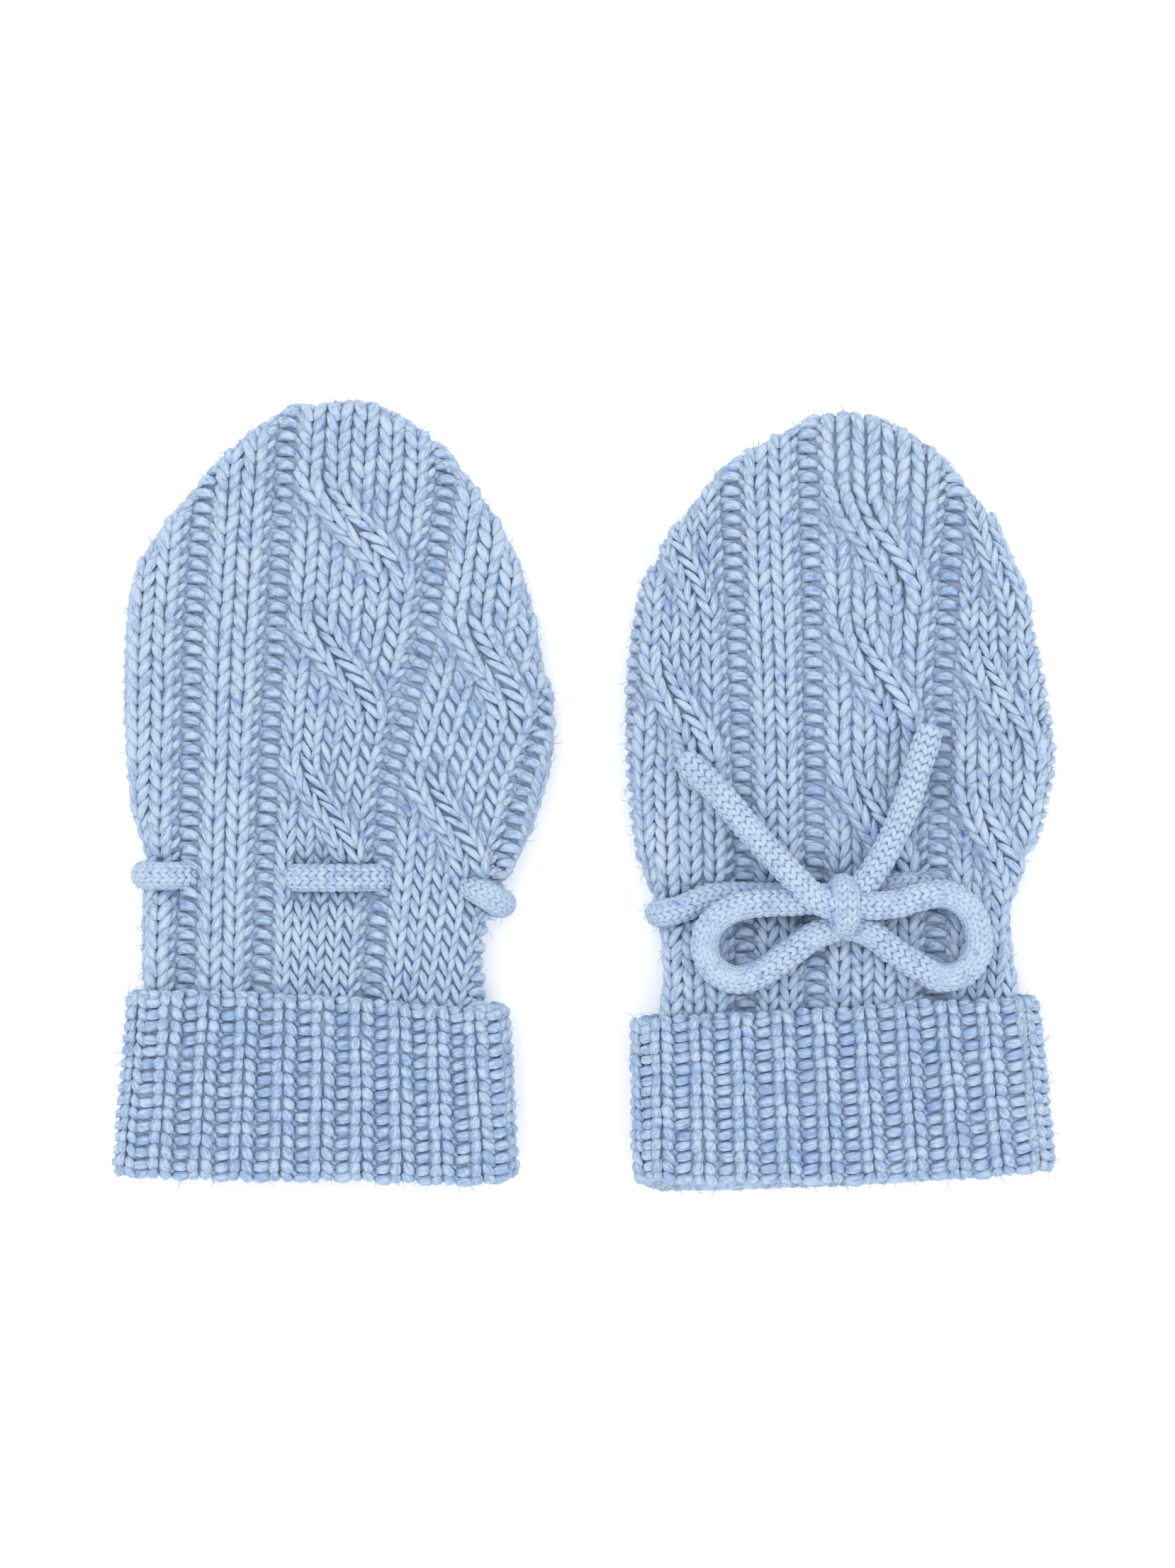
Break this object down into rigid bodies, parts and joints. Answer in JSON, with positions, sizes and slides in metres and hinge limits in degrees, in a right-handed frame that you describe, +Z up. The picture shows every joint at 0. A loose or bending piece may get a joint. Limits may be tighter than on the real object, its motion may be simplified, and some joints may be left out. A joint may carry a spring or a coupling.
{
  "type": "pair of baby mittens",
  "caption": "Pair of thumbless knitted baby mittens laid flat, with cables, turned-up ribbed cuffs, and a drawstring tied in a bow at the wrist.",
  "frame": {"origin": "on the surface that the pair lies on, under the middle of the pair's outline", "axes": "+X across the pair, from the palm-up mitten to the one that shows its bow; +Y from the cuffs to the fingertips; +Z up from the surface"},
  "size_m": [0.156, 0.1324, 0.0181],
  "materials": {
    "knit_cloth": "soft pale blue melange yarn, cable and rib knit, matt with a fine halo",
    "knit_cord": "the same yarn knitted in a narrow round tube, matt"
  },
  "bodies": {
    "root": {"left_hand": "knit_cloth", "left_cuff": "knit_cloth", "left_drawstring": "knit_cord", "right_hand": "knit_cloth", "right_cuff": "knit_cloth", "right_drawstring_left": "knit_cord", "right_drawstring_right": "knit_cord", "right_knot": "knit_cord", "right_loop_left": "knit_cord", "right_loop_right": "knit_cord", "right_tail_left": "knit_cord", "right_tail_right": "knit_cord"}
  },
  "joints": []
}
